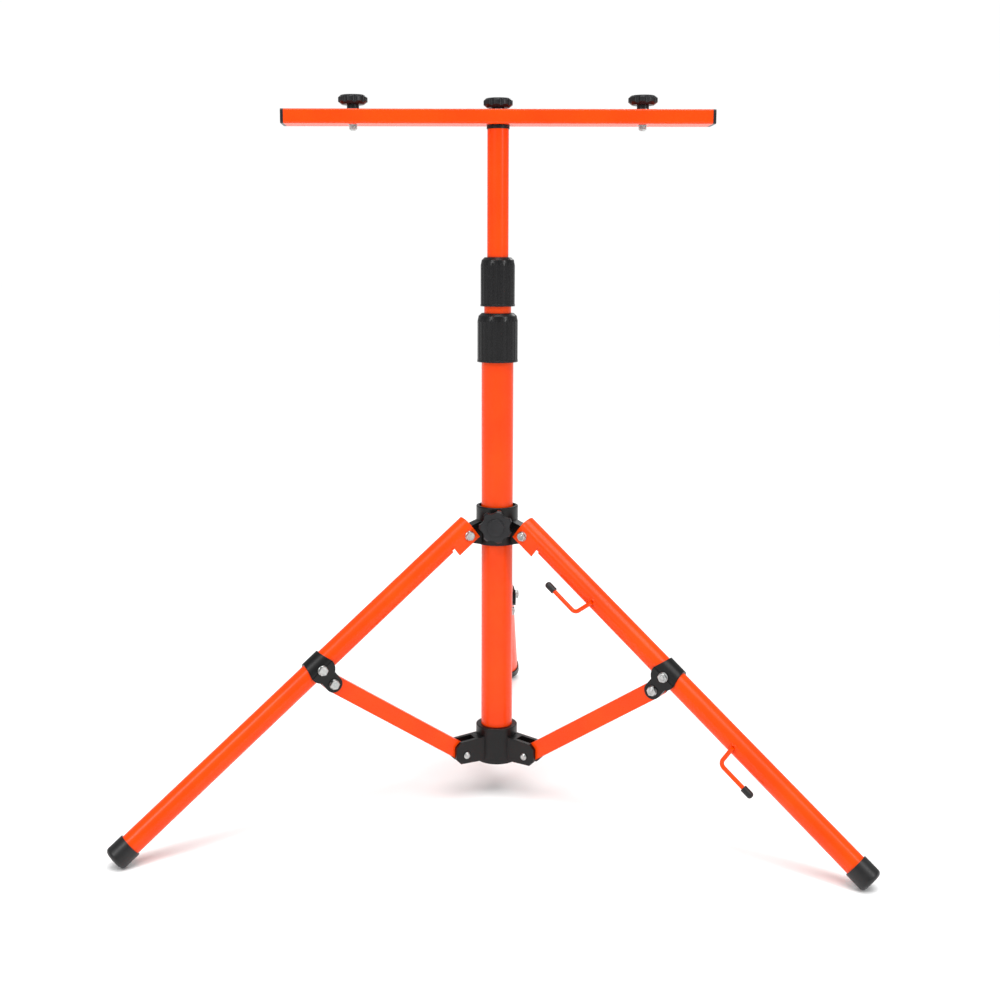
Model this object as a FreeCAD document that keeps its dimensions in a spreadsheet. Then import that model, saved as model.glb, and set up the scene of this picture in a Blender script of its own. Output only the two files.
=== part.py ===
"""Folding tripod for two work lights: three braced legs, a twist-lock telescopic mast and a crossbar.

Frame: the mast's axis is Z and the floor is Z = 0. The front faces -Y. One leg points straight back
(+Y), the other two point 60 degrees either side of the front. Millimetres throughout.
"""
import FreeCAD, Part
import math
import os
import re
import Sketcher
from FreeCAD import Placement, Rotation, Vector

doc = FreeCAD.newDocument("LightTripod")
sheet = doc.addObject("Spreadsheet::Sheet", "Sizes")

SIZES = {
    # telescopic mast: three tubes, each with its own wall
    "outer_dia": 38.0,
    "outer_wall": 1.2,
    "middle_dia": 32.0,
    "middle_wall": 1.2,
    "inner_dia": 25.0,
    "inner_wall": 1.5,
    "outer_base": 50.0,
    "outer_top": 575.0,
    "middle_base": 90.0,
    "middle_top": 640.0,
    "inner_base": 285.0,
    "slide_fit": 0.08,
    "guide_length": 25.0,
    "cap_wall": 3.0,
    # twist collars
    "low_collar_wall": 5.25,
    "low_collar_base": 538.4,
    "low_collar_height": 57.6,
    "high_collar_wall": 4.5,
    "high_collar_base": 604.0,
    "high_collar_height": 57.3,
    "collar_shoulder": 9.5,
    "collar_roof": 4.5,
    "collar_gap": 0.35,
    "collar_hem": 2.2,
    "flute_depth": 0.7,
    "flute_dia": 3.2,
    "flute_count": 24,
    "collet_depth": 20.0,
    "collet_flange": 14.0,
    # hubs
    "hub_wall": 3.25,
    "low_hub_base": 46.5,
    "low_hub_height": 44.6,
    "high_hub_base": 319.6,
    "high_hub_height": 45.8,
    "low_pivot_out": 20.65,
    "low_pivot_height": 60.0,
    "high_pivot_out": 18.15,
    "high_pivot_height": 333.3,
    "hub_play": 3.0,
    "pivot_play": 4.2,
    "side_play": 4.5,
    "lug_end": 8.9,
    "cheek_wall": 4.8,
    "cheek_past": 14.1,
    "cheek_corner": 6.0,
    "cheek_height": 27.0,
    "seat_fit": 0.02,
    # legs
    "leg_dia": 25.0,
    "leg_wall": 1.2,
    "leg_slope": 52.1,
    "ear_drop": 4.2,
    "ear_reach": 9.5,
    "ear_length": 24.0,
    "ear_notch": 3.0,
    "pivot_drop": 6.5,
    "foot_wall": 1.75,
    "cap_length": 23.5,
    "cap_floor": 4.0,
    "cap_round": 5.0,
    # mid-leg clamps and struts
    "strut_along": 233.7,
    "strut_clear": 1.0,
    "clamp_wall": 3.6,
    "clamp_roof": 2.2,
    "clamp_band": 20.0,
    "clamp_disc": 31.0,
    "clamp_floor": 1.8,
    "strut_width": 20.0,
    "strut_thick": 12.0,
    "strut_wall": 1.5,
    "strut_gap": 0.3,
    # fasteners
    "pin_dia": 6.0,
    "pin_fit": 0.08,
    "nut_flats": 10.0,
    "nut_height": 4.2,
    "rivet_head": 8.6,
    "rivet_height": 2.2,
    # cable hooks
    "wire_dia": 5.0,
    "hook_high": 116.0,
    "hook_low": 340.5,
    "hook_reach": 25.2,
    "hook_bend": 7.0,
    "hook_length": 43.5,
    "hook_slant_high": 7.5,
    "hook_slant_low": 1.5,
    "tip_dia": 8.2,
    "tip_length": 13.5,
    "tip_grip": 8.0,
    # crossbar
    "bar_length": 493.0,
    "bar_depth": 40.0,
    "bar_height": 16.5,
    "bar_wall": 1.5,
    "bar_base": 813.0,
    "bar_turn": 4.7,
    "bar_corner": 2.5,
    "plug_flange": 3.5,
    "plug_depth": 14.0,
    "lamp_spacing": 336.0,
    "screw_dia": 10.0,
    "thread_fit": 0.05,
    "tail_dia": 9.6,
    "tail_step": 0.8,
    "tail_taper": 1.8,
    "insert_dia": 13.5,
    "screw_tail": 6.5,
    "seat_plug": 30.0,
    "plug_lip": 4.5,
    "lip_dia": 26.6,
    # hand knobs
    "knob_dia": 34.0,
    "knob_height": 10.5,
    "knob_neck": 14.0,
    "neck_height": 5.0,
    "short_neck": 1.6,
    "knob_scallop": 7.0,
    "knob_lobes": 9,
    "washer_dia": 19.0,
    "washer_thick": 1.2,
    "star_dia": 40.0,
    "star_lobes": 7,
    "star_scallop": 19.0,
    "star_thick": 11.0,
    "star_boss": 20.0,
    "star_height": 345.0,
    "star_gap": 4.0,
}
for row, (name, size) in enumerate(SIZES.items(), start=1):
    sheet.set(f"A{row}", name)
    sheet.set(f"B{row}", str(size))
    sheet.setAlias(f"B{row}", name)
doc.recompute()

# Where the legs point, as turns about the mast from +X.
LEGS = {"back": 90.0, "left": 210.0, "right": 330.0}

# Lengths that follow from the sizes above, written as formulas of them.
HUB_DIA = "(outer_dia + 2 * (hub_play + hub_wall))"
LOW_PIVOT = f"({HUB_DIA} / 2 + low_pivot_out)"
HIGH_PIVOT = f"({HUB_DIA} / 2 + high_pivot_out)"
CHEEK_REACH = f"({LOW_PIVOT} + cheek_past)"
LOW_COLLAR_DIA = "(outer_dia + 2 * low_collar_wall)"
HIGH_COLLAR_DIA = "(middle_dia + 2 * high_collar_wall)"
CAP_DIA = "(leg_dia + 2 * foot_wall)"
STRUT_DROP = "(leg_dia / 2 + clamp_floor + strut_width / 2 + strut_clear)"
FOOT_HEIGHT = f"(({CAP_DIA} / 2 - cap_round) * sin(leg_slope) + cap_round * (1 - cos(leg_slope)))"
AXIS_REACH = f"({HIGH_PIVOT} + pivot_drop * cos(leg_slope))"
AXIS_HEIGHT = "(high_pivot_height + pivot_drop * sin(leg_slope))"
LEG_LENGTH = f"(({AXIS_HEIGHT} - {FOOT_HEIGHT}) / cos(leg_slope))"
STRUT_REACH = f"({AXIS_REACH} + strut_along * sin(leg_slope) - {STRUT_DROP} * cos(leg_slope))"
STRUT_HEIGHT = f"({AXIS_HEIGHT} - strut_along * cos(leg_slope) - {STRUT_DROP} * sin(leg_slope))"
STRUT_RUN = f"({STRUT_REACH} - {LOW_PIVOT})"
STRUT_RISE = f"({STRUT_HEIGHT} - low_pivot_height)"
STRUT_LENGTH = f"sqrt({STRUT_RUN}^2 + {STRUT_RISE}^2)"
STRUT_SLOPE = f"atan({STRUT_RUN} / {STRUT_RISE})"
CHEEK_GAP = "(strut_thick + 2 * strut_gap)"
CHEEK_SPAN = f"({CHEEK_GAP} + 2 * cheek_wall)"
CLAMP_SPAN = "(leg_dia + 2 * clamp_wall)"
BAR_TOP = "(bar_base + bar_height)"
OUTER_BORE = "(outer_dia - 2 * outer_wall)"
MIDDLE_BORE = "(middle_dia - 2 * middle_wall)"
INNER_BORE = "(inner_dia - 2 * inner_wall)"
LUG_SPAN = "(leg_dia - 2 * leg_wall - 2 * side_play)"


def linked(formula):
    """The formula with every size name pointed at its cell."""
    return re.sub(r"[a-z]+(?:_[a-z]+)+", lambda word: "Sizes." + word.group(0), str(formula))


def size_of(formula):
    """The formula's value now, as a plain number."""
    found = sheet.evalExpression(linked(formula))
    return float(getattr(found, "Value", found))


def new_body(label):
    piece = doc.addObject("PartDesign::Body", label)
    piece.Label = label
    return piece


def new_sketch(piece, plane, offset="0"):
    """A sketch on one of the body's own origin planes, moved along the plane's normal."""
    drawing = piece.newObject("Sketcher::SketchObject", piece.Label + "_sketch")
    side = [feature for feature in piece.Origin.OriginFeatures if feature.Role == plane][0]
    drawing.AttachmentSupport = (side, [""])
    drawing.MapMode = "FlatFace"
    drawing.setExpression("AttachmentOffset.Base.z", linked(offset))
    return drawing


def hold(drawing, kind, item, point, formula):
    """Ties one coordinate of a point to a formula, measured from the sketch's origin."""
    number = drawing.addConstraint(Sketcher.Constraint(kind, -1, 1, item, point, size_of(formula)))
    drawing.setExpression(f"Constraints[{number}]", linked(formula))


def draw_outline(drawing, corners):
    """A closed outline of straight lines through corners given as pairs of formulas."""
    places = [Vector(size_of(across), size_of(up), 0) for across, up in corners]
    first = len(drawing.Geometry)
    for start, end in zip(places, places[1:] + places[:1]):
        drawing.addGeometry(Part.LineSegment(start, end))
    for step, (across, up) in enumerate(corners):
        line = first + step
        after = first + (step + 1) % len(corners)
        drawing.addConstraint(Sketcher.Constraint("Coincident", line, 2, after, 1))
        hold(drawing, "DistanceX", line, 1, across)
        hold(drawing, "DistanceY", line, 1, up)


def draw_circle(drawing, diameter, across="0", up="0"):
    middle = Vector(size_of(across), size_of(up), 0)
    item = drawing.addGeometry(Part.Circle(middle, Vector(0, 0, 1), size_of(diameter) / 2))
    number = drawing.addConstraint(Sketcher.Constraint("Radius", item, size_of(diameter) / 2))
    drawing.setExpression(f"Constraints[{number}]", linked(f"({diameter}) / 2"))
    hold(drawing, "DistanceX", item, 3, across)
    hold(drawing, "DistanceY", item, 3, up)


def draw_half_disc(drawing, diameter, across="0", up="0"):
    """The half of a disc beyond its own upright diameter."""
    wide, x, y = size_of(diameter), size_of(across), size_of(up)
    circle = Part.Circle(Vector(x, y, 0), Vector(0, 0, 1), wide / 2)
    bow = drawing.addGeometry(Part.ArcOfCircle(circle, -math.pi / 2, math.pi / 2), False)
    chord = drawing.addGeometry(Part.LineSegment(Vector(x, y + wide / 2, 0), Vector(x, y - wide / 2, 0)), False)
    drawing.addConstraint(Sketcher.Constraint("Coincident", bow, 2, chord, 1))
    drawing.addConstraint(Sketcher.Constraint("Coincident", bow, 1, chord, 2))
    hold(drawing, "DistanceX", bow, 3, across)
    hold(drawing, "DistanceY", bow, 3, up)
    hold(drawing, "DistanceX", chord, 1, across)
    hold(drawing, "DistanceY", chord, 1, f"({up}) + ({diameter}) / 2")
    hold(drawing, "DistanceX", chord, 2, across)


def draw(drawing, shape):
    """A shape is ("disc" or "half disc", diameter, across, up) or a list of corners."""
    if shape[0] == "disc":
        draw_circle(drawing, *shape[1:])
    elif shape[0] == "half disc":
        draw_half_disc(drawing, *shape[1:])
    else:
        draw_outline(drawing, shape)


def oblong(low_across, high_across, low_up, high_up):
    """The four corners of an upright rectangle."""
    return [(low_across, low_up), (high_across, low_up), (high_across, high_up), (low_across, high_up)]


def centred(width, height, across="0", up="0"):
    """The four corners of a rectangle about a point."""
    return oblong(f"{across} - ({width}) / 2", f"{across} + ({width}) / 2",
                  f"{up} - ({height}) / 2", f"{up} + ({height}) / 2")


def extrude(kind, piece, plane, shape, thickness, middle="0"):
    """A pad or a pocket whose thickness is shared evenly either side of the (moved) plane."""
    drawing = new_sketch(piece, plane, middle)
    draw(drawing, shape)
    feature = piece.newObject("PartDesign::" + kind, piece.Label + "_" + kind.lower())
    feature.Profile = drawing
    feature.SideType = "Symmetric"
    feature.setExpression("Length", linked(thickness))
    doc.recompute()
    return feature


def pad(piece, plane, shape, thickness, middle="0"):
    return extrude("Pad", piece, plane, shape, thickness, middle)


def cut(piece, plane, shape, thickness, middle="0"):
    before = piece.Shape.Volume
    feature = extrude("Pocket", piece, plane, shape, thickness, middle)
    assert piece.Shape.Volume < before - 1e-3, piece.Label + ": a cut that removes nothing"
    return feature


def revolve(kind, piece, corners):
    """Turns an outline of (radius, height) corners about the body's own Z axis."""
    drawing = new_sketch(piece, "XZ_Plane")
    draw_outline(drawing, corners)
    feature = piece.newObject("PartDesign::" + kind, piece.Label + "_" + kind.lower())
    feature.Profile = drawing
    feature.ReferenceAxis = (drawing, ["V_Axis"])
    feature.Angle = 360
    doc.recompute()
    return feature


def turned(label, corners):
    """A body turned from one outline of (radius, height) corners."""
    piece = new_body(label)
    revolve("Revolution", piece, corners)
    return piece


def tube(label, diameter, wall, base, top):
    """A round tube about Z."""
    return turned(label, oblong(f"{diameter} / 2 - {wall}", f"{diameter} / 2", base, top))


def repeat_round(piece, feature, count):
    """Repeats a feature evenly about the body's Z axis."""
    pattern = piece.newObject("PartDesign::PolarPattern", piece.Label + "_pattern")
    pattern.Originals = [feature]
    pattern.Axis = ([axis for axis in piece.Origin.OriginFeatures if axis.Role == "Z_Axis"][0], [""])
    pattern.Angle = 360
    pattern.setExpression("Occurrences", linked(count))
    piece.Tip = pattern
    doc.recompute()


def rim_edges(piece, radius, height):
    """Names of the body's circular edges of this radius about Z at this height."""
    found = []
    for number, edge in enumerate(piece.Shape.Edges, start=1):
        if not isinstance(edge.Curve, Part.Circle):
            continue
        right_size = abs(edge.Curve.Radius - size_of(radius)) < 0.01
        if right_size and abs(edge.Curve.Center.z - size_of(height)) < 0.01:
            found.append(f"Edge{number}")
    return found


def round_edges(piece, names, radius):
    """Rounds the named edges of the body's last feature."""
    base = piece.Tip
    feature = piece.newObject("PartDesign::Fillet", piece.Label + "_round")
    feature.Base = (base, names)
    feature.setExpression("Radius", linked(radius))
    piece.Tip = feature
    doc.recompute()


def long_edges(piece, direction, length):
    """Names of the straight edges along a direction that are at least this long."""
    found = []
    for number, edge in enumerate(piece.Shape.Edges, start=1):
        if isinstance(edge.Curve, Part.Line) and edge.Length > size_of(length):
            if abs(edge.tangentAt(edge.FirstParameter).dot(direction)) > 0.999:
                found.append(f"Edge{number}")
    return found


def leg_frame(turn):
    """Origin on the leg's axis beside its top pivot, Z down the leg, X to its underside."""
    lean = Rotation(Vector(0, 1, 0), 180 - size_of("leg_slope"))
    at = Vector(size_of(AXIS_REACH), 0, size_of(AXIS_HEIGHT))
    return Placement(Vector(), Rotation(Vector(0, 0, 1), turn)).multiply(Placement(at, lean))


def strut_frame(turn):
    """Origin on the strut's lower pivot, Z up the strut, X to its underside."""
    lean = Rotation(Vector(0, 1, 0), size_of(STRUT_SLOPE))
    at = Vector(size_of(LOW_PIVOT), 0, size_of("low_pivot_height"))
    return Placement(Vector(), Rotation(Vector(0, 0, 1), turn)).multiply(Placement(at, lean))


def cross_frame(frame, across, along):
    """A frame at a point of the leg's or hub's own plane, with Z square to that plane."""
    at = Vector(size_of(across), 0, size_of(along))
    return frame.multiply(Placement(at, Rotation(Vector(1, 0, 0), 90)))


def rivet(label, span, frame):
    """A round pin with a low domed head at both ends of its span."""
    head = [
        ("0", f"-({span}) / 2 - rivet_height"),
        ("rivet_head * 0.3", f"-({span}) / 2 - rivet_height"),
        ("rivet_head / 2", f"-({span}) / 2 - rivet_height * 0.35"),
        ("rivet_head / 2", f"-({span}) / 2"),
        ("pin_dia / 2", f"-({span}) / 2"),
    ]
    other_head = [(radius, height.replace("-(", "(").replace("- rivet", "+ rivet"))
                  for radius, height in reversed(head)]
    piece = turned(label, head + other_head)
    piece.Placement = frame
    return piece


def nutted_bolt(label, span, frame):
    """A hexagon bolt through the span with its nut run up tight on the far side."""
    parts = []
    shank = doc.addObject("Part::Cylinder", label + "_shank")
    shank.setExpression("Radius", linked("pin_dia / 2"))
    shank.setExpression("Height", linked(f"{span} + 2 * nut_height"))
    shank.setExpression("Placement.Base.z", linked(f"-({span}) / 2 - nut_height"))
    parts.append(shank)
    for end, base in (("head", f"-({span}) / 2 - nut_height"), ("nut", f"({span}) / 2")):
        hexagon = doc.addObject("Part::Prism", label + "_" + end)
        hexagon.Polygon = 6
        hexagon.setExpression("Circumradius", linked("nut_flats / sqrt(3)"))
        hexagon.setExpression("Height", linked("nut_height"))
        hexagon.setExpression("Placement.Base.z", linked(base))
        parts.append(hexagon)
    piece = doc.addObject("Part::MultiFuse", label)
    piece.Label = label
    piece.Shapes = parts
    piece.Placement = frame
    return piece


# ---------------------------------------------------------------- mast and lower hub

def make_mast():
    pieces = [tube("outer_tube", "outer_dia", "outer_wall", "outer_base", "outer_top")]
    pieces.append(make_lower_hub())
    pieces.append(make_collet("lower_collet", "outer_dia", OUTER_BORE, "middle_dia", "outer_top"))
    for name, turn in LEGS.items():
        spot = Placement(Vector(), Rotation(Vector(0, 0, 1), turn))
        at = cross_frame(spot, LOW_PIVOT, "low_pivot_height")
        pieces.append(rivet("lower_rivet_" + name, CHEEK_SPAN, at))
    return pieces


def make_lower_hub():
    """A cup under the mast with three forked lugs that hold the struts' lower ends."""
    hub_top = "(low_hub_base + low_hub_height)"
    piece = turned("lower_hub", oblong("outer_dia / 2 + seat_fit", f"{HUB_DIA} / 2", "low_hub_base", hub_top))
    revolve("Revolution", piece, oblong("outer_dia / 4", f"{HUB_DIA} / 2", "low_hub_base", "outer_base"))
    foot = "outer_base"
    crown = "(outer_base + cheek_height)"
    lug = [
        ("outer_dia / 2 + seat_fit + 1", foot),
        (f"{CHEEK_REACH} - cheek_corner", foot),
        (CHEEK_REACH, f"{foot} + cheek_corner"),
        (CHEEK_REACH, f"{crown} - cheek_corner"),
        (f"{CHEEK_REACH} - cheek_corner", f"{crown}"),
        ("outer_dia / 2 + seat_fit + 1", f"{crown} + cheek_corner / 2"),
    ]
    first = pad(piece, "XZ_Plane", lug, CHEEK_SPAN)
    repeat_round(piece, first, "3")
    slot = oblong(f"{LOW_PIVOT} - strut_width / 2 - 3", f"{CHEEK_REACH} + 5",
                  f"{foot} - 5", f"{crown} + 15")
    notch = cut(piece, "XZ_Plane", slot, CHEEK_GAP)
    repeat_round(piece, notch, "3")
    hole = cut(piece, "XZ_Plane", ("disc", "pin_dia + 2 * seat_fit", LOW_PIVOT, "low_pivot_height"),
               f"{CHEEK_SPAN} + 2")
    repeat_round(piece, hole, "3")
    piece.Placement = Placement(Vector(), Rotation(Vector(0, 0, 1), LEGS["back"]))
    round_edges(piece, rim_edges(piece, f"{HUB_DIA} / 2", hub_top), "1.2")
    return piece


def make_collet(label, tube_dia, bore, slide_dia, seat):
    """A guide bush in a tube's mouth; the next tube slides through it."""
    hole = f"{slide_dia} / 2 + slide_fit"
    return turned(label, [
        (hole, f"{seat} - collet_depth"),
        (f"{bore} / 2 - seat_fit", f"{seat} - collet_depth"),
        (f"{bore} / 2 - seat_fit", seat),
        (f"{tube_dia} / 2", seat),
        (f"{tube_dia} / 2", f"{seat} + collet_flange"),
        (hole, f"{seat} + collet_flange"),
    ])


def make_collar(label, diameter, base, height, tube_dia, slide_dia):
    """A fluted twist sleeve: loose round its tube, with a roof close to the next one."""
    top = f"({base} + {height})"
    crown = f"({slide_dia} / 2 + 3)"
    piece = turned(label, [
        (f"{tube_dia} / 2 + collar_gap", base),
        (f"{diameter} / 2", base),
        (f"{diameter} / 2", f"{base} + collar_hem"),
        (f"{diameter} / 2 - flute_depth / 2", f"{base} + collar_hem"),
        (f"{diameter} / 2 - flute_depth / 2", f"{top} - collar_shoulder"),
        (f"({diameter} / 2 + {crown}) / 2 + 1", f"{top} - collar_shoulder * 0.35"),
        (crown, top),
        (f"{slide_dia} / 2 + collar_gap", top),
        (f"{slide_dia} / 2 + collar_gap", f"{top} - collar_roof"),
        (f"{tube_dia} / 2 + collar_gap", f"{top} - collar_roof"),
    ])
    flute = cut(piece, "XY_Plane", ("disc", "flute_dia", f"{diameter} / 2 + flute_dia / 2 - flute_depth * 1.4"),
                f"{height} - collar_hem", f"{base} + collar_hem + ({height} - collar_hem) / 2")
    repeat_round(piece, flute, "flute_count")
    return piece


def make_slide(name, diameter, wall, base, top, bore):
    """A sliding tube with the guide ring on its lower end, which runs in the tube around it."""
    piece = tube(name + "_tube", diameter, wall, base, top)
    guide = turned(name + "_guide", [
        (f"{diameter} / 2 - {wall} - 1.2", f"{base} - cap_wall"),
        (f"{bore} / 2 - slide_fit", f"{base} - cap_wall"),
        (f"{bore} / 2 - slide_fit", f"{base} + guide_length"),
        (f"{diameter} / 2 + seat_fit", f"{base} + guide_length"),
        (f"{diameter} / 2 + seat_fit", base),
        (f"{diameter} / 2 - {wall} - 1.2", base),
    ])
    return [piece, guide]


# ---------------------------------------------------------------- upper hub and its lock

def make_upper_hub():
    """A sleeve that slides on the mast, with three solid lugs that the legs hang from."""
    hub_top = "(high_hub_base + high_hub_height)"
    bore = "outer_dia / 2 + hub_play"
    piece = turned("upper_hub", oblong(bore, f"{HUB_DIA} / 2", "high_hub_base", hub_top))
    root = f"{bore} + 1"
    lug = [
        (root, "high_hub_base"),
        (HIGH_PIVOT, "high_pivot_height - lug_end"),
        (HIGH_PIVOT, "high_pivot_height + lug_end"),
        (root, "high_pivot_height + lug_end * 1.8"),
    ]
    arm = pad(piece, "XZ_Plane", lug, LUG_SPAN)
    repeat_round(piece, arm, "3")
    end = pad(piece, "XZ_Plane", ("disc", "2 * lug_end", HIGH_PIVOT, "high_pivot_height"), LUG_SPAN)
    repeat_round(piece, end, "3")
    wide = cut(piece, "XZ_Plane", ("disc", "pin_dia + 2 * pin_fit", HIGH_PIVOT, "high_pivot_height"),
               f"{LUG_SPAN} + 2")
    repeat_round(piece, wide, "3")
    for turn in ("left", "right"):
        open_pivot(piece, LEGS[turn] - LEGS["back"])
    pad(piece, "YZ_Plane", ("disc", "screw_dia + 8", "0", "star_height"),
               "star_gap + 2", f"-{HUB_DIA} / 2 + 1 - star_gap / 2")
    cut(piece, "YZ_Plane", ("disc", "screw_dia + 2 * thread_fit", "0", "star_height"), "20",
        f"-{HUB_DIA} / 2")
    round_edges(piece, rim_edges(piece, f"{HUB_DIA} / 2", hub_top), "1.2")
    piece.Placement = Placement(Vector(), Rotation(Vector(0, 0, 1), LEGS["back"]))
    return piece


def open_pivot(piece, turn):
    """A wide hole across one lug: the pin there moves about as the legs fold."""
    drawing = new_sketch(piece, "XZ_Plane")
    drawing.AttachmentOffset = Placement(Vector(), Rotation(Vector(0, 1, 0), turn))
    draw_circle(drawing, "pin_dia + 2 * pivot_play", HIGH_PIVOT, "high_pivot_height")
    feature = piece.newObject("PartDesign::Pocket", piece.Label + "_wide_hole")
    feature.Profile = drawing
    feature.SideType = "Symmetric"
    feature.setExpression("Length", linked(f"{LUG_SPAN} + 2"))
    doc.recompute()


def make_lock():
    """The star knob on the hub's front and the screw that it turns."""
    length = f"({HUB_DIA} / 2 + star_gap - (outer_dia / 2 + hub_play))"
    frame = Placement(Vector(0, -size_of(f"{HUB_DIA} / 2 + star_gap"), size_of("star_height")),
                      Rotation(Vector(1, 0, 0), 90))
    star = turned("lock_knob", [
        ("screw_dia / 2 + seat_fit", "0"),
        ("star_dia * 0.3", "0"),
        ("star_dia / 2", "star_thick * 0.3"),
        ("star_dia / 2", "star_thick * 0.8"),
        ("star_dia / 2 - 2", "star_thick"),
        ("star_boss / 2", "star_thick"),
        ("star_boss / 2", "star_thick + 2"),
        ("0", "star_thick + 2"),
        ("0", "star_thick - 3"),
        ("screw_dia / 2 + seat_fit", "star_thick - 3"),
    ])
    bite = cut(star, "XY_Plane", ("disc", "star_scallop", "(star_dia + star_scallop) / 2 - 3.6"),
               "2 * star_thick", "star_thick")
    repeat_round(star, bite, "star_lobes")
    star.Placement = frame
    screw = turned("lock_screw", oblong("0", "screw_dia / 2", f"-{length}", "star_thick - 3"))
    screw.Placement = frame
    return [star, screw]


# ---------------------------------------------------------------- legs

def make_leg(name, turn):
    frame = leg_frame(turn)
    pieces = [make_leg_tube(name), make_foot_cap(name), make_clamp(name)]
    for piece in pieces:
        piece.Placement = frame
    pieces.append(nutted_bolt("leg_bolt_" + name, "leg_dia", cross_frame(frame, "pivot_drop", "0")))
    pieces.append(nutted_bolt("clamp_bolt_" + name, CLAMP_SPAN, cross_frame(frame, "0", "strut_along")))
    pieces.append(nutted_bolt("strut_bolt_" + name, CHEEK_SPAN,
                              cross_frame(frame, STRUT_DROP, "strut_along")))
    return pieces


def make_leg_tube(name):
    """A round tube whose top end is slit along its underside and opened into two flat ears."""
    bore = "(leg_dia - 2 * leg_wall)"
    piece = new_body("leg_tube_" + name)
    end = f"({LEG_LENGTH} - cap_floor)"
    pad(piece, "XY_Plane", ("disc", "leg_dia"), f"{end} + ear_reach", f"({end} - ear_reach) / 2")
    ears = oblong("0", "leg_dia / 2 + ear_drop", "-leg_dia / 2", "leg_dia / 2")
    pad(piece, "XY_Plane", ears, "ear_reach + ear_length", "(ear_length - ear_reach) / 2")
    cut(piece, "XY_Plane", ("disc", bore), f"{end} + ear_reach + 2", f"({end} - ear_reach) / 2")
    mouth = oblong("0", "leg_dia / 2 + ear_drop + 1", f"-{bore} / 2", f"{bore} / 2")
    cut(piece, "XY_Plane", mouth, "ear_length + ear_reach + 2", "(ear_length - ear_reach - 2) / 2")
    relief = oblong("leg_dia / 4", "leg_dia / 2 + ear_drop + 1", "ear_length", "ear_length + ear_notch")
    cut(piece, "XZ_Plane", relief, "leg_dia + 2")
    cut(piece, "XZ_Plane", ("disc", "pin_dia + 2 * seat_fit", "pivot_drop", "0"), "leg_dia + 2")
    cut(piece, "XZ_Plane", ("disc", "pin_dia + 2 * seat_fit", "0", "strut_along"), "leg_dia + 2")
    return piece


def make_foot_cap(name):
    """A cup pressed over the leg's lower end; its rounded rim stands on the floor."""
    piece = turned("foot_cap_" + name, [
        ("0", f"{LEG_LENGTH} - cap_floor"),
        ("leg_dia / 2 + seat_fit", f"{LEG_LENGTH} - cap_floor"),
        ("leg_dia / 2 + seat_fit", f"{LEG_LENGTH} - cap_length"),
        (f"{CAP_DIA} / 2", f"{LEG_LENGTH} - cap_length"),
        (f"{CAP_DIA} / 2", LEG_LENGTH),
        ("0", LEG_LENGTH),
    ])
    round_edges(piece, rim_edges(piece, f"{CAP_DIA} / 2", LEG_LENGTH), "cap_round")
    return piece


def make_clamp(name):
    """A saddle round the leg with a forked lug below it for the strut."""
    piece = new_body("leg_clamp_" + name)
    pad(piece, "XY_Plane", ("disc", "leg_dia + 2 * clamp_roof"), "clamp_disc", "strut_along")
    outside = f"{CLAMP_SPAN} / 2 + 1"
    shoulders = [
        (f"-({outside})", "strut_along - clamp_band / 2"),
        (f"-({outside})", "strut_along - clamp_disc / 2 - 1"),
        (outside, "strut_along - clamp_disc / 2 - 1"),
        (outside, "strut_along + clamp_disc / 2 + 1"),
        (f"-({outside})", "strut_along + clamp_disc / 2 + 1"),
        (f"-({outside})", "strut_along + clamp_band / 2"),
        ("0", "strut_along + clamp_disc / 2"),
        ("0", "strut_along - clamp_disc / 2"),
    ]
    cut(piece, "XZ_Plane", shoulders, f"{CLAMP_SPAN} + 2")
    pad(piece, "XZ_Plane", ("half disc", "clamp_disc", "0", "strut_along"), CLAMP_SPAN)
    lug = oblong("leg_dia / 4", STRUT_DROP, "strut_along - strut_width / 2", "strut_along + strut_width / 2")
    pad(piece, "XZ_Plane", lug, CHEEK_SPAN)
    pad(piece, "XZ_Plane", ("disc", "strut_width", STRUT_DROP, "strut_along"), CHEEK_SPAN)
    cut(piece, "XY_Plane", ("disc", "leg_dia + 2 * seat_fit"), "2 * clamp_disc", "strut_along")
    slot = oblong("leg_dia / 2 + clamp_floor", f"{STRUT_DROP} + strut_width",
                  "strut_along - clamp_disc", "strut_along + clamp_disc")
    cut(piece, "XZ_Plane", slot, CHEEK_GAP)
    hole = "pin_dia + 2 * seat_fit"
    cut(piece, "XZ_Plane", ("disc", hole, "0", "strut_along"), f"{CLAMP_SPAN} + 2")
    cut(piece, "XZ_Plane", ("disc", hole, STRUT_DROP, "strut_along"), f"{CLAMP_SPAN} + 2")
    return piece


def make_strut(name, turn):
    """A flat rectangular tube with rounded ends, bored at both ends for its pivots."""
    piece = new_body("strut_" + name)
    pad(piece, "XZ_Plane", centred("strut_width", STRUT_LENGTH, "0", f"{STRUT_LENGTH} / 2"), "strut_thick")
    for place in ("0", STRUT_LENGTH):
        pad(piece, "XZ_Plane", ("disc", "strut_width", "0", place), "strut_thick")
    hollow = centred("strut_width - 2 * strut_wall", "strut_thick - 2 * strut_wall")
    cut(piece, "XY_Plane", hollow, f"{STRUT_LENGTH} + 2 * strut_width", f"{STRUT_LENGTH} / 2")
    for place in ("0", STRUT_LENGTH):
        cut(piece, "XZ_Plane", ("disc", "pin_dia + 2 * pin_fit", "0", place), "strut_thick + 2")
    piece.Placement = strut_frame(turn)
    return piece


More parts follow.
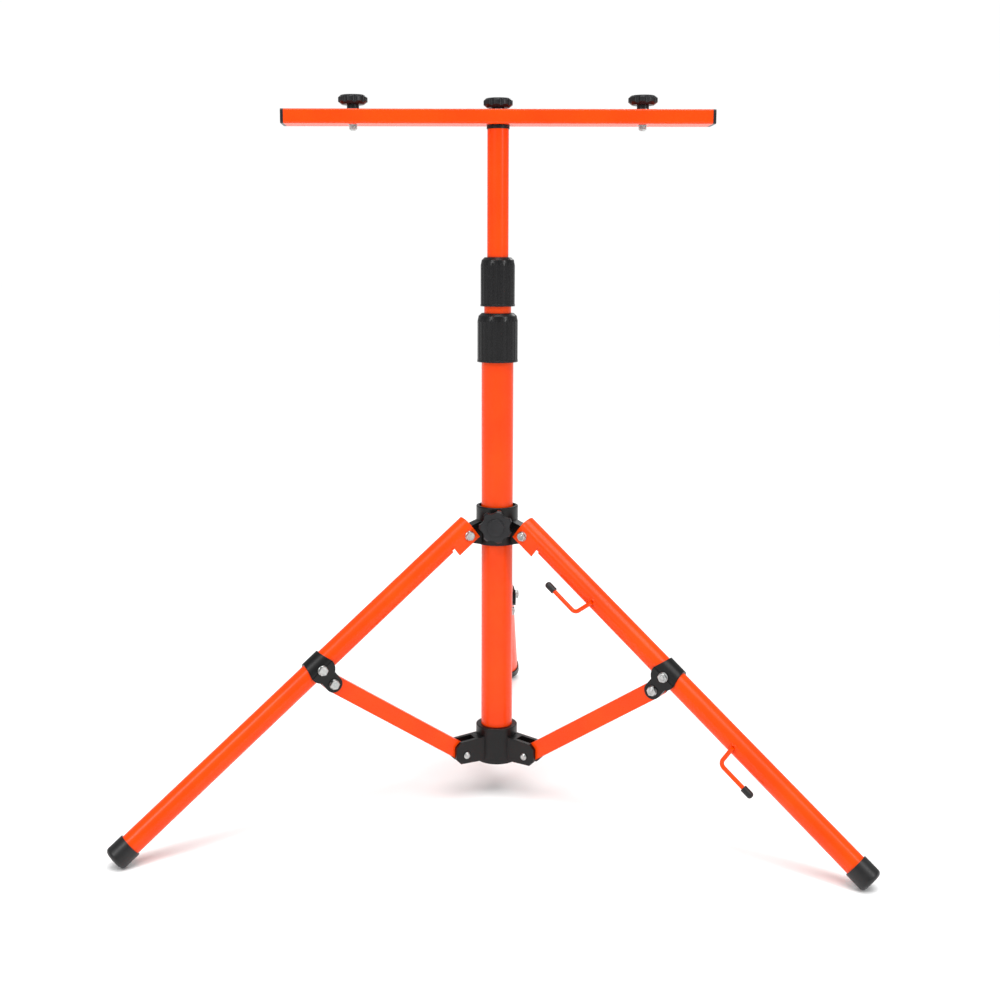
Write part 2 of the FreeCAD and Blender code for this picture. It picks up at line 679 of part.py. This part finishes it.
def make_hook(name, along, slant, way):
    """A bent wire welded to the leg's front side, with a soft tip; way is -1 up the leg, 1 down it."""
    side = size_of("leg_dia / 2 + wire_dia / 2")
    place = size_of(along)
    bend = size_of("hook_bend")
    root = Vector(0, -side, place)
    corner = Vector(size_of("hook_reach"), -side, place + way * size_of(slant))
    tip = corner + Vector(0, 0, way * size_of("hook_length"))
    out = (corner - root).normalize()
    down = (tip - corner).normalize()
    turn = out.getAngle(down)
    before = corner - out * bend * math.tan(turn / 2)
    after = corner + down * bend * math.tan(turn / 2)
    turning = corner + (down - out).normalize() * bend * (1 / math.cos(turn / 2) - 1)
    path = Part.Wire([Part.LineSegment(root, before).toShape(),
                      Part.Arc(before, turning, after).toShape(),
                      Part.LineSegment(after, tip).toShape()])
    section = Part.Wire([Part.makeCircle(size_of("wire_dia / 2"), root, out)])
    wire = doc.addObject("Part::Feature", "hook_" + name)
    wire.Label = "hook_" + name
    wire.Shape = path.makePipeShell([section], True, True)
    wire.Placement = leg_frame(LEGS["right"])
    cap = turned("hook_tip_" + name, [
        ("0", "0"),
        ("wire_dia / 2 + seat_fit", "0"),
        ("wire_dia / 2 + seat_fit", "-tip_grip"),
        ("tip_dia / 2", "-tip_grip"),
        ("tip_dia / 2", "tip_length - tip_grip"),
        ("0", "tip_length - tip_grip"),
    ])
    round_edges(cap, rim_edges(cap, "tip_dia / 2", "tip_length - tip_grip"), "tip_dia / 2 - 0.6")
    facing = Rotation(Vector(1, 0, 0), 90 - way * 90)
    cap.Placement = leg_frame(LEGS["right"]).multiply(Placement(tip, facing))
    return [wire, cap]


# ---------------------------------------------------------------- crossbar

def bar_frame(across="0"):
    """A point along the bar, which stands turned a little about the mast."""
    swivel = Placement(Vector(), Rotation(Vector(0, 0, 1), size_of("bar_turn")))
    return swivel.multiply(Placement(Vector(size_of(across), 0, 0), Rotation()))


def make_bar():
    """A rectangular tube across the top, its two end plugs and its two threaded inserts."""
    piece = new_body("crossbar")
    middle = "bar_base + bar_height / 2"
    pad(piece, "YZ_Plane", centred("bar_depth", "bar_height", "0", middle), "bar_length")
    round_edges(piece, long_edges(piece, Vector(1, 0, 0), "bar_length / 2"), "bar_corner")
    hollow = centred("bar_depth - 2 * bar_wall", "bar_height - 2 * bar_wall", "0", middle)
    cut(piece, "YZ_Plane", hollow, "bar_length + 2")
    cut(piece, "XY_Plane", ("disc", "screw_dia + 2 * pin_fit"), "bar_height + 4", middle)
    for place in ("-lamp_spacing / 2", "lamp_spacing / 2"):
        cut(piece, "XY_Plane", ("disc", "insert_dia + 2 * seat_fit", place), "bar_height + 4", middle)
    piece.Placement = bar_frame()
    pieces = [piece]
    for name, way in (("left", -1), ("right", 1)):
        pieces.append(make_end_plug(name, way))
        insert = turned("lamp_insert_" + name, oblong(
            "screw_dia / 2 + thread_fit", "insert_dia / 2", "bar_base", BAR_TOP))
        insert.Placement = bar_frame(f"{way} * lamp_spacing / 2")
        pieces.append(insert)
    return pieces


def make_end_plug(name, way):
    """A cap with the bar's own outline and a hollow spigot inside it."""
    piece = new_body("end_plug_" + name)
    middle = "bar_base + bar_height / 2"
    pad(piece, "YZ_Plane", centred("bar_depth", "bar_height", "0", middle), "plug_flange",
        f"{way} * (bar_length / 2 + plug_flange / 2)")
    round_edges(piece, long_edges(piece, Vector(1, 0, 0), "plug_flange / 2"), "bar_corner")
    spigot = centred("bar_depth - 2 * bar_wall - 0.2", "bar_height - 2 * bar_wall - 0.2", "0", middle)
    pad(piece, "YZ_Plane", spigot, "plug_depth", f"{way} * (bar_length / 2 - plug_depth / 2)")
    hollow = centred("bar_depth - 4 * bar_wall", "bar_height - 4 * bar_wall", "0", middle)
    cut(piece, "YZ_Plane", hollow, "plug_depth", f"{way} * (bar_length / 2 - plug_depth / 2)")
    piece.Placement = bar_frame()
    return piece


def make_top_plug():
    """A threaded plug in the inner tube's mouth; the bar stands on its lip and the centre screw enters it."""
    return turned("top_plug", [
        ("screw_dia / 2 + thread_fit", "bar_base - seat_plug"),
        (f"{INNER_BORE} / 2 - seat_fit", "bar_base - seat_plug"),
        (f"{INNER_BORE} / 2 - seat_fit", "bar_base - plug_lip"),
        ("lip_dia / 2", "bar_base - plug_lip"),
        ("lip_dia / 2", "bar_base"),
        ("screw_dia / 2 + thread_fit", "bar_base"),
    ])


def make_bar_knob(name, across, neck, screw_end):
    """A scalloped hand knob, its neck washer and the screw moulded into it."""
    seat = f"{BAR_TOP} + washer_thick"
    under = f"({BAR_TOP} + washer_thick + {neck})"
    crown = f"({under} + knob_height)"
    knob = turned("knob_" + name, [
        ("screw_dia / 2 + seat_fit", seat),
        ("knob_neck / 2", seat),
        ("knob_neck / 2", under),
        ("knob_dia * 0.38", under),
        ("knob_dia / 2", f"{under} + knob_height * 0.3"),
        ("knob_dia / 2", f"{under} + knob_height * 0.75"),
        ("knob_dia * 0.42", crown),
        ("0", crown),
        ("0", f"{crown} - 4"),
        ("screw_dia / 2 + seat_fit", f"{crown} - 4"),
    ])
    bite = cut(knob, "XY_Plane", ("disc", "knob_scallop", "(knob_dia + knob_scallop) / 2 - 1.8"),
               "knob_height + 1", f"{under} + knob_height / 2 + 0.4")
    repeat_round(knob, bite, "knob_lobes")
    washer = turned("washer_" + name, oblong("screw_dia / 2 + seat_fit", "washer_dia / 2", BAR_TOP, seat))
    screw = turned("screw_" + name, [
        ("0", screw_end),
        ("tail_dia / 4", screw_end),
        ("tail_dia / 2", f"{screw_end} + tail_taper"),
        ("tail_dia / 2", "bar_base - tail_step"),
        ("screw_dia / 2", "bar_base - tail_step"),
        ("screw_dia / 2", f"{crown} - 4"),
        ("0", f"{crown} - 4"),
    ])
    for piece in (knob, washer, screw):
        piece.Placement = bar_frame(across)
    return [knob, washer, screw]


# ---------------------------------------------------------------- the whole stand

def make_everything():
    pieces = make_mast()
    pieces.append(make_collar("lower_collar", LOW_COLLAR_DIA, "low_collar_base", "low_collar_height",
                              "outer_dia", "middle_dia"))
    pieces += make_slide("middle", "middle_dia", "middle_wall", "middle_base", "middle_top", OUTER_BORE)
    pieces.append(make_collet("upper_collet", "middle_dia", MIDDLE_BORE, "inner_dia", "middle_top"))
    pieces.append(make_collar("upper_collar", HIGH_COLLAR_DIA, "high_collar_base", "high_collar_height",
                              "middle_dia", "inner_dia"))
    pieces += make_slide("inner", "inner_dia", "inner_wall", "inner_base", "bar_base - plug_lip", MIDDLE_BORE)
    pieces.append(make_top_plug())
    pieces.append(make_upper_hub())
    pieces += make_lock()
    for name, turn in LEGS.items():
        pieces += make_leg(name, turn)
        pieces.append(make_strut(name, turn))
    pieces += make_hook("high", "hook_high", "hook_slant_high", -1)
    pieces += make_hook("low", "hook_low", "hook_slant_low", 1)
    pieces += make_bar()
    pieces += make_bar_knob("left", "-lamp_spacing / 2", "neck_height", "bar_base - screw_tail")
    pieces += make_bar_knob("right", "lamp_spacing / 2", "neck_height", "bar_base - screw_tail")
    pieces += make_bar_knob("centre", "0", "short_neck", "bar_base - seat_plug * 0.7")
    return pieces


def check_and_write(pieces):
    doc.recompute()
    for thing in doc.Objects:
        bad = [word for word in thing.State if word in ("Invalid", "Error")]
        assert not bad, f"{thing.Label}: {bad}"
    for piece in pieces:
        shape = piece.Shape
        assert not shape.isNull() and shape.isValid(), piece.Label + ": bad shape"
        assert len(shape.Solids) == 1, f"{piece.Label}: {len(shape.Solids)} solids"
    os.makedirs("parts", exist_ok=True)
    for piece in pieces:
        piece.Shape.exportStep(f"parts/{piece.Label}.step")
    print(len(pieces), "pieces written")


check_and_write(make_everything())
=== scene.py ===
import math
import bmesh
import bpy
from mathutils import Matrix, Vector


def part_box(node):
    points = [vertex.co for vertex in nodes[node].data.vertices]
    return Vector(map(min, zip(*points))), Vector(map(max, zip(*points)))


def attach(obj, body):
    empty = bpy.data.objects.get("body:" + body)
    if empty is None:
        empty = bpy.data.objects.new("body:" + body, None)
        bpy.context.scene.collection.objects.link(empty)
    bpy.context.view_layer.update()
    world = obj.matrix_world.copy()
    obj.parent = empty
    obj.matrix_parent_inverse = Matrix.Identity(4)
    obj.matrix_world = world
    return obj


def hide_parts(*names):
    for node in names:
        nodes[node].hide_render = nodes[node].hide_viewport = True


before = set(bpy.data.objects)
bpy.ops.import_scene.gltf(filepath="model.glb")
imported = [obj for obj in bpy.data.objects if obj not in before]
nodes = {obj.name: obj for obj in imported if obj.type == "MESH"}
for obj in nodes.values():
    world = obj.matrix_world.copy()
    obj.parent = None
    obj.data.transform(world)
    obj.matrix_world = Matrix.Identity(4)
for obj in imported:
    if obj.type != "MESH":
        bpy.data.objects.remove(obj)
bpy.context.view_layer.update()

MM = 0.001
LEGS = {"back": 90.0, "left": 210.0, "right": 330.0}


# ------------------------------------------------------------------ colour and nodes

def linear(hex_code, alpha=1.0):
    """An sRGB hex colour as the linear numbers that shaders use."""
    channels = [int(hex_code[place:place + 2], 16) / 255 for place in (1, 3, 5)]
    bright = [c / 12.92 if c <= 0.04045 else ((c + 0.055) / 1.055) ** 2.4 for c in channels]
    return (*bright, alpha)


def add(tree, kind, inputs=None, **settings):
    """Adds a node. Settings are its own properties; inputs are values, or sockets to link from."""
    node = tree.nodes.new(kind)
    for name, value in settings.items():
        setattr(node, name, value)
    for name, value in (inputs or {}).items():
        if isinstance(value, bpy.types.NodeSocket):
            tree.links.new(value, node.inputs[name])
        else:
            node.inputs[name].default_value = value
    return node


def ramp(tree, factor, stops):
    """Adds a colour ramp with (position, colour) stops."""
    node = add(tree, "ShaderNodeValToRGB", {"Fac": factor})
    band = node.color_ramp
    for element, (position, colour) in zip(band.elements, stops):
        element.position, element.color = position, colour
    for position, colour in stops[2:]:
        band.elements.new(position).color = colour
    return node


def grey(level):
    return (level, level, level, 1.0)


def per_metre(grain_mm):
    """A noise scale that gives features of about this size in millimetres."""
    return 1.0 / (grain_mm * MM)


def new_material(name):
    material = bpy.data.materials.new(name)
    material.use_nodes = True
    tree = material.node_tree
    tree.nodes.clear()
    place = add(tree, "ShaderNodeTexCoord").outputs["Object"]
    return material, tree, place


def finish_material(tree, surface):
    add(tree, "ShaderNodeOutputMaterial", {"Surface": surface})


# ------------------------------------------------------------------ materials

def make_powder_coat(name, main, deep, peel_mm=2.6):
    """Gloss polyester powder coat baked on steel: a clear skin with a slight orange peel."""
    material, tree, place = new_material(name)
    drift = add(tree, "ShaderNodeTexNoise",
                {"Vector": place, "Scale": per_metre(70), "Detail": 3.0, "Roughness": 0.55})
    tone = ramp(tree, drift.outputs["Fac"], [(0.35, linear(deep)), (0.65, linear(main))])
    speck = add(tree, "ShaderNodeTexNoise",
                {"Vector": place, "Scale": per_metre(0.9), "Detail": 1.0})
    gloss = ramp(tree, speck.outputs["Fac"], [(0.3, grey(0.26)), (0.75, grey(0.34))])
    peel = add(tree, "ShaderNodeTexNoise",
               {"Vector": place, "Scale": per_metre(peel_mm), "Detail": 1.5, "Roughness": 0.4})
    skin = add(tree, "ShaderNodeBump",
               {"Height": peel.outputs["Fac"], "Strength": 0.35, "Distance": 0.00012})
    edge = add(tree, "ShaderNodeBevel", {"Radius": 0.0006, "Normal": skin.outputs["Normal"]}, samples=4)
    coat = add(tree, "ShaderNodeBsdfPrincipled", {
        "Base Color": tone.outputs["Color"],
        "Roughness": gloss.outputs["Color"],
        "IOR": 1.5,
        "Specular IOR Level": 0.13,
        "Coat Weight": 0.17,
        "Coat Roughness": 0.24,
        "Normal": edge.outputs["Normal"],
    })
    finish_material(tree, coat.outputs["BSDF"])
    return material


def make_moulded_nylon(name, main, dark, grain_mm, rough, bump):
    """Glass-filled PA6 nylon from a spark-eroded mould: a fine even grain and a low sheen."""
    material, tree, place = new_material(name)
    cloud = add(tree, "ShaderNodeTexNoise",
                {"Vector": place, "Scale": per_metre(30), "Detail": 3.0, "Roughness": 0.55})
    tone = ramp(tree, cloud.outputs["Fac"], [(0.35, linear(dark)), (0.7, linear(main))])
    grain = add(tree, "ShaderNodeTexNoise",
                {"Vector": place, "Scale": per_metre(grain_mm), "Detail": 2.0, "Roughness": 0.6})
    shine = ramp(tree, grain.outputs["Fac"], [(0.3, grey(rough - 0.05)), (0.7, grey(rough + 0.07))])
    pits = add(tree, "ShaderNodeBump",
               {"Height": grain.outputs["Fac"], "Strength": bump, "Distance": 0.00008})
    edge = add(tree, "ShaderNodeBevel", {"Radius": 0.0007, "Normal": pits.outputs["Normal"]}, samples=4)
    shell = add(tree, "ShaderNodeBsdfPrincipled", {
        "Base Color": tone.outputs["Color"],
        "Roughness": shine.outputs["Color"],
        "IOR": 1.53,
        "Specular IOR Level": 0.27,
        "Normal": edge.outputs["Normal"],
    })
    finish_material(tree, shell.outputs["BSDF"])
    return material


def make_zinc_steel(name):
    """Bright zinc plate on steel: cloudy blue-white passivation over a fine tumbled grain."""
    material, tree, place = new_material(name)
    cloud = add(tree, "ShaderNodeTexNoise",
                {"Vector": place, "Scale": per_metre(3.5), "Detail": 4.0, "Roughness": 0.6})
    tone = ramp(tree, cloud.outputs["Fac"],
                [(0.25, linear("#96999B")), (0.75, linear("#C6C7C4")), (0.5, linear("#B1B3B2"))])
    rub = add(tree, "ShaderNodeTexNoise",
              {"Vector": place, "Scale": per_metre(0.5), "Detail": 3.0})
    shine = ramp(tree, rub.outputs["Fac"], [(0.3, grey(0.26)), (0.7, grey(0.42))])
    tumble = add(tree, "ShaderNodeBump",
                 {"Height": rub.outputs["Fac"], "Strength": 0.3, "Distance": 0.00005})
    metal = add(tree, "ShaderNodeBsdfPrincipled", {
        "Base Color": tone.outputs["Color"],
        "Metallic": 1.0,
        "Roughness": shine.outputs["Color"],
        "Normal": tumble.outputs["Normal"],
    })
    finish_material(tree, metal.outputs["BSDF"])
    return material


def make_rubber(name, main, worn, grain_mm=0.8):
    """Black PVC rubber, dip moulded: soft sheen with a faint grey bloom."""
    material, tree, place = new_material(name)
    bloom = add(tree, "ShaderNodeTexNoise",
                {"Vector": place, "Scale": per_metre(9), "Detail": 4.0, "Roughness": 0.65})
    tone = ramp(tree, bloom.outputs["Fac"], [(0.4, linear(main)), (0.8, linear(worn))])
    grain = add(tree, "ShaderNodeTexNoise",
                {"Vector": place, "Scale": per_metre(grain_mm), "Detail": 2.0})
    gloss = ramp(tree, grain.outputs["Fac"], [(0.3, grey(0.36)), (0.7, grey(0.48))])
    pores = add(tree, "ShaderNodeBump",
                {"Height": grain.outputs["Fac"], "Strength": 0.35, "Distance": 0.0001})
    skin = add(tree, "ShaderNodeBsdfPrincipled", {
        "Base Color": tone.outputs["Color"],
        "Roughness": gloss.outputs["Color"],
        "IOR": 1.52,
        "Specular IOR Level": 0.4,
        "Sheen Weight": 0.03,
        "Sheen Roughness": 0.5,
        "Normal": pores.outputs["Normal"],
    })
    finish_material(tree, skin.outputs["BSDF"])
    return material


powder_coat = make_powder_coat("powder_coated_steel_orange", "#F44700", "#EB3F00")
hub_nylon = make_moulded_nylon("moulded_nylon_hub", "#0C0C0C", "#070708", 0.7, 0.36, 0.5)
collar_nylon = make_moulded_nylon("moulded_nylon_collar", "#161617", "#0F0F10", 0.9, 0.26, 0.35)
knob_nylon = make_moulded_nylon("moulded_nylon_knob", "#262628", "#1A1A1C", 0.7, 0.32, 0.5)
zinc_steel = make_zinc_steel("zinc_plated_steel")
cap_rubber = make_rubber("moulded_pvc_rubber", "#0C0C0D", "#161617")

FINISHES = {
    "powder": (powder_coat, ("outer_tube", "middle_tube", "inner_tube", "crossbar", "leg_tube",
                             "strut_back", "strut_left", "strut_right", "hook_high", "hook_low")),
    "hub": (hub_nylon, ("lower_hub", "upper_hub", "leg_clamp", "lower_collet", "upper_collet",
                        "middle_guide", "inner_guide", "top_plug")),
    "collar": (collar_nylon, ("lower_collar", "upper_collar")),
    "knob": (knob_nylon, ("knob", "lock_knob", "end_plug")),
    "rubber": (cap_rubber, ("foot_cap", "hook_tip")),
    "zinc": (zinc_steel, ("lower_rivet", "leg_bolt", "clamp_bolt", "strut_bolt", "screw", "washer",
                          "lamp_insert", "lock_screw")),
}


def finish_of(node_name):
    """The material whose list holds the longest matching start of the node's name."""
    matches = [(len(start), material) for material, starts in FINISHES.values()
               for start in starts if node_name.startswith(start)]
    return max(matches, key=lambda match: match[0])[1]


for node_name, node in nodes.items():
    node.data.materials.clear()
    node.data.materials.append(finish_of(node_name))


# ------------------------------------------------------------------ places on the stand

LEG_SLOPE = math.radians(52.1)
AXIS_REACH = 47.393
AXIS_HEIGHT = 338.429
LEG_RADIUS = 12.5


def leg_frame(name):
    """Origin on the leg's axis beside its top pivot, Z down the leg, X to its underside."""
    lean = Matrix.Rotation(math.pi - LEG_SLOPE, 4, "Y")
    at = Matrix.Translation(Vector((AXIS_REACH, 0, AXIS_HEIGHT)) * MM)
    return Matrix.Rotation(math.radians(LEGS[name]), 4, "Z") @ at @ lean


def reach_along(node_name, direction):
    """How far a node runs along a direction, low and high, and its box's middle."""
    low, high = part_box(node_name)
    middle = (Vector(low) + Vector(high)) / 2
    along = [(vertex.co - middle).dot(direction) for vertex in nodes[node_name].data.vertices]
    return min(along), max(along), middle


# ------------------------------------------------------------------ mesh makers

def lathe(name, rings, material, segments=48):
    """A mesh from rings; each ring is a function of the angle that gives (radius, height) in mm."""
    mesh = bmesh.new()
    loops = []
    for ring in rings:
        loop = []
        for step in range(segments):
            angle = 2 * math.pi * step / segments
            radius, height = ring(angle)
            spot = Vector((radius * math.cos(angle), radius * math.sin(angle), height)) * MM
            loop.append(mesh.verts.new(spot))
        loops.append(loop)
    for lower, upper in zip(loops, loops[1:]):
        for step in range(segments):
            after = (step + 1) % segments
            mesh.faces.new((lower[step], lower[after], upper[after], upper[step]))
    mesh.faces.new(list(reversed(loops[0])))
    mesh.faces.new(loops[-1])
    return finish_mesh(name, mesh, material)


def finish_mesh(name, mesh, material):
    for face in mesh.faces:
        face.smooth = True
    data = bpy.data.meshes.new(name)
    mesh.to_mesh(data)
    mesh.free()
    data.set_sharp_from_angle(angle=math.radians(32))
    data.materials.append(material)
    piece = bpy.data.objects.new(name, data)
    bpy.context.scene.collection.objects.link(piece)
    return piece


def round_at(radius, height):
    return lambda angle: (radius, height)


def hex_radius(flats, angle):
    """How far out a hexagon's side is at this angle."""
    return flats / 2 / math.cos((angle + math.pi / 6) % (math.pi / 3) - math.pi / 6)


def hex_at(flats, height, chamfer=0.0):
    """A hexagon whose corners drop by the usual 30 degree chamfer when one is given."""
    def ring(angle):
        out = hex_radius(flats, angle)
        return out, height - chamfer * (0.35 + (out - flats / 2) * 0.9)
    return ring


# ------------------------------------------------------------------ fasteners

HEX_FLATS = 10.0
FLANGE = 5.95
PIN = 3.0
HEAD_HEIGHT = 4.2


def make_flange_bolt(kind, name):
    """A flanged hexagon bolt with rolled head dish, and a flanged nut with the thread's end in it."""
    node_name = f"{kind}_{name}"
    axis = leg_frame(name).to_3x3() @ Vector((0, 1, 0))
    low, high, middle = reach_along(node_name, axis)
    low, high = low / MM, high / MM
    seat_low, seat_high = low + HEAD_HEIGHT, high - HEAD_HEIGHT
    rings = [
        round_at(0.6, low + 0.15),
        round_at(1.7, low + 0.1),
        round_at(1.9, low),
        round_at(2.6, low + 0.35),
        round_at(2.7, low + 0.75),
        round_at(3.3, low + 0.55),
        round_at(4.55, low + 0.5),
        hex_at(HEX_FLATS, low + 0.6, -0.55),
        hex_at(HEX_FLATS, seat_low - 1.5),
        round_at(FLANGE - 0.15, seat_low - 0.95),
        round_at(FLANGE, seat_low - 0.6),
        round_at(FLANGE, seat_low),
        round_at(PIN, seat_low),
        round_at(PIN, seat_high),
        round_at(FLANGE, seat_high),
        round_at(FLANGE, seat_high + 0.6),
        round_at(FLANGE - 0.15, seat_high + 0.95),
        hex_at(HEX_FLATS, seat_high + 1.5),
        hex_at(HEX_FLATS, high - 0.1, 0.55),
        round_at(4.55, high),
        round_at(3.4, high - 0.12),
        round_at(1.5, high - 0.28),
    ]
    piece = lathe(f"{node_name}_detail", rings, zinc_steel)
    piece.matrix_world = Matrix.Translation(middle) @ axis.to_track_quat("Z", "X").to_matrix().to_4x4()
    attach(piece, f"leg_{name}")
    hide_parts(node_name)
    return piece


def make_lamp_screw(name):
    """A rolled M10 screw: the thread shows where it comes out under the bar."""
    node_name = f"screw_{name}"
    low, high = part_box(node_name)
    length = (high[2] - low[2]) / MM
    pitch, crest, depth = 1.5, 4.8, 0.7
    threaded = min(length - 3, 26.0)

    def thread(height):
        def ring(angle):
            phase = (height / pitch - angle / (2 * math.pi)) % 1.0
            groove = depth * abs(2 * phase - 1)
            run_out = min(1.0, (threaded - height) / pitch) if height > threaded - pitch else 1.0
            point = min(crest, 2.7 + height * 1.15)
            return max(0.5, min(point, crest - groove * run_out)), height
        return ring

    steps = int(threaded / (pitch / 8))
    rings = [thread(threaded * step / steps) for step in range(steps + 1)]
    rings += [round_at(crest, threaded + 0.3), round_at(crest + 0.15, threaded + 0.6),
              round_at(crest + 0.15, length)]
    piece = lathe(f"{node_name}_thread", rings, zinc_steel, segments=32)
    piece.location = ((low[0] + high[0]) / 2, (low[1] + high[1]) / 2, low[2])
    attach(piece, f"hand_{name}")
    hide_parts(node_name)
    return piece


def make_knob_cap(name):
    """The small domed blanking cap pressed into the top of a hand knob over the screw's end."""
    low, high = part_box(f"knob_{name}")
    rings = [round_at(6.2, -0.3), round_at(6.2, 0.15), round_at(5.9, 0.4), round_at(4.2, 0.62),
             round_at(2.2, 0.74), round_at(0.5, 0.78)]
    piece = lathe(f"knob_{name}_cap", rings, collar_nylon, segments=40)
    piece.location = ((low[0] + high[0]) / 2, (low[1] + high[1]) / 2, high[2])
    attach(piece, f"hand_{name}")
    return piece


# ------------------------------------------------------------------ welds

HOOK_REACH = 25.2
WELD_RUN = 6.0
WIRE_SIDE = 2.7
WELD_STEPS = 60
BEAD_SIDES = 12


def make_weld_bead(name, along, slant, way):
    """A rippled fillet weld round the end of a cable hook where it lies on the leg's side."""
    lean = math.atan2(way * slant, HOOK_REACH)
    side = LEG_RADIUS - 0.1
    path = []
    for step in range(WELD_STEPS + 1):
        turn = step / WELD_STEPS
        if turn < 0.4:
            out, off = WELD_RUN - turn / 0.4 * WELD_RUN, WIRE_SIDE
        elif turn < 0.6:
            bend = (turn - 0.4) / 0.2 * math.pi
            out, off = -WIRE_SIDE * math.sin(bend), WIRE_SIDE * math.cos(bend)
        else:
            out, off = (turn - 0.6) / 0.4 * WELD_RUN, -WIRE_SIDE
        across = out * math.cos(lean) - off * math.sin(lean)
        down = out * math.sin(lean) + off * math.cos(lean)
        lift = math.sqrt(max(0.0, side ** 2 - across ** 2)) + 0.35
        path.append(Vector((across, -lift, along + down)))
    mesh = bmesh.new()
    loops = []
    for step, spot in enumerate(path):
        ahead = (path[min(step + 1, WELD_STEPS)] - path[max(step - 1, 0)]).normalized()
        up = Vector((0, -1, 0))
        beside = ahead.cross(up).normalized()
        up = beside.cross(ahead)
        end = min(1.0, 0.35 + step / 5, 0.35 + (WELD_STEPS - step) / 5)
        thick = (1.25 + 0.22 * math.sin(step * 1.9) + 0.12 * math.sin(step * 0.7 + along)) * end
        loops.append([mesh.verts.new((spot + (up * math.sin(a) * 0.85 + beside * math.cos(a)) * thick) * MM)
                      for a in (2 * math.pi * k / BEAD_SIDES for k in range(BEAD_SIDES))])
    for lower, upper in zip(loops, loops[1:]):
        for step in range(BEAD_SIDES):
            after = (step + 1) % BEAD_SIDES
            mesh.faces.new((lower[step], lower[after], upper[after], upper[step]))
    mesh.faces.new(list(reversed(loops[0])))
    mesh.faces.new(loops[-1])
    bmesh.ops.recalc_face_normals(mesh, faces=mesh.faces)
    piece = finish_mesh(f"hook_weld_{name}", mesh, powder_coat)
    piece.matrix_world = leg_frame("right")
    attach(piece, "leg_right")
    return piece


for leg_name in LEGS:
    for bolt_kind in ("leg_bolt", "clamp_bolt", "strut_bolt"):
        make_flange_bolt(bolt_kind, leg_name)
for hand in ("left", "right", "centre"):
    make_lamp_screw(hand)
    make_knob_cap(hand)
make_weld_bead("high", 116.0, 7.5, -1)
make_weld_bead("low", 340.5, 1.5, 1)


# ------------------------------------------------------------------ studio

def make_studio():
    """A white sweep, an even surround that lights a little less than it shows, and soft lamps."""
    bpy.ops.mesh.primitive_plane_add(size=60, location=(0, 0, 0))
    floor = bpy.context.object
    floor.name = "studio_floor"
    material, tree, place = new_material("painted_studio_floor")
    mottle = add(tree, "ShaderNodeTexNoise", {"Vector": place, "Scale": 3.0, "Detail": 3.0})
    tone = ramp(tree, mottle.outputs["Fac"], [(0.4, linear("#FAFAFA")), (0.6, linear("#FCFCFC"))])
    matt = add(tree, "ShaderNodeBsdfPrincipled",
               {"Base Color": tone.outputs["Color"], "Roughness": 0.95, "Specular IOR Level": 0.1})
    finish_material(tree, matt.outputs["BSDF"])
    floor.data.materials.append(material)

    world = bpy.data.worlds.new("studio_surround")
    bpy.context.scene.world = world
    world.use_nodes = True
    tree = world.node_tree
    tree.nodes.clear()
    seen = add(tree, "ShaderNodeLightPath").outputs["Is Camera Ray"]
    strength = add(tree, "ShaderNodeMapRange", {"Value": seen, "To Min": 0.42, "To Max": 1.02})
    surround = add(tree, "ShaderNodeBackground",
                   {"Color": linear("#FFFFFF"), "Strength": strength.outputs["Result"]})
    add(tree, "ShaderNodeOutputWorld", {"Surface": surround.outputs["Background"]})

    for name, kind, place_at, size, power, turn in (
            ("sky_bank", "SUN", (0, 0, 4), math.radians(45), 2.2, (16, 5, 0)),
            ("key_softbox", "AREA", (-1.5, -2.0, 2.1), (0.6, 1.5), 30, (52, 0, -36)),
            ("edge_softbox", "AREA", (1.9, -1.5, 1.5), (0.35, 1.4), 16, (62, 0, 52)),
            ("back_softbox", "AREA", (0.4, 2.2, 1.9), (1.6, 0.6), 14, (-52, 0, -8))):
        lamp = bpy.data.lights.new(name, kind)
        lamp.energy = power
        if kind == "SUN":
            lamp.angle = size
        else:
            lamp.shape = "RECTANGLE"
            lamp.size, lamp.size_y = size
        holder = bpy.data.objects.new(name, lamp)
        holder.location = place_at
        holder.rotation_euler = [math.radians(angle) for angle in turn]
        bpy.context.scene.collection.objects.link(holder)


def make_camera():
    """A 48 mm lens about 1.58 m in front of the mast, 0.66 m up and tipped down a little."""
    round_mast = math.radians(3.64)
    aside, away, height = -0.0293, 1.5771, 0.6600
    lens = bpy.data.cameras.new("camera")
    lens.lens = 47.73
    lens.sensor_width = 36.0
    lens.shift_x = 0.0271
    lens.shift_y = -0.0485
    eye = bpy.data.objects.new("camera", lens)
    eye.location = (aside * math.cos(round_mast) + away * math.sin(round_mast),
                    aside * math.sin(round_mast) - away * math.cos(round_mast), height)
    eye.rotation_euler = (math.radians(90 - 8.29), 0, round_mast)
    bpy.context.scene.collection.objects.link(eye)
    bpy.context.scene.camera = eye


make_studio()
make_camera()
bpy.context.scene.view_settings.view_transform = "Standard"
